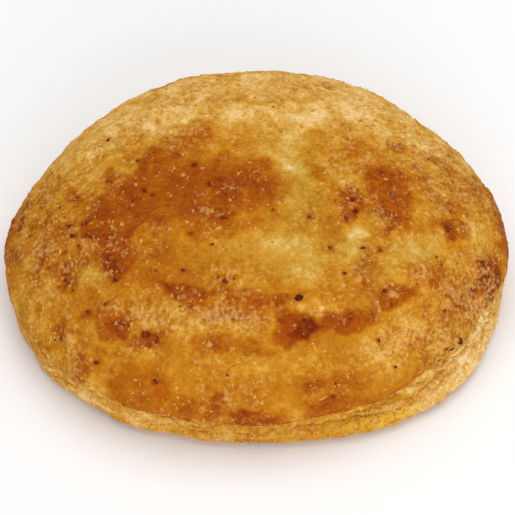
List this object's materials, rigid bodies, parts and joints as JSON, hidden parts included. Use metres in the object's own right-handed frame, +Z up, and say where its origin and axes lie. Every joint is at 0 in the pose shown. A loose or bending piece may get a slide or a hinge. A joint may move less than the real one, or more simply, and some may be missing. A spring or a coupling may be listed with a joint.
{
  "type": "toasted sandwich",
  "caption": "Oval toasted sandwich: thick domed crown of browned bread over a thin sheet of melted cheese and a flat bread heel, lying on its base and slightly open at one side.",
  "frame": {"origin": "middle of the base, on the surface the sandwich lies on", "axes": "+X along the long side, +Z up through the crown; -Y is the front, where the seam shows"},
  "size_m": [0.1258, 0.1028, 0.0377],
  "materials": {
    "toasted_crust": "golden to dark brown toasted bread, slightly oily",
    "melted_cheese": "soft satin melted cheese",
    "soft_bread": "pale golden soft bread, lightly toasted underneath"
  },
  "bodies": {
    "root": {"bread_crown": "toasted_crust", "melted_cheese": "melted_cheese", "bread_heel": "soft_bread"}
  },
  "joints": []
}
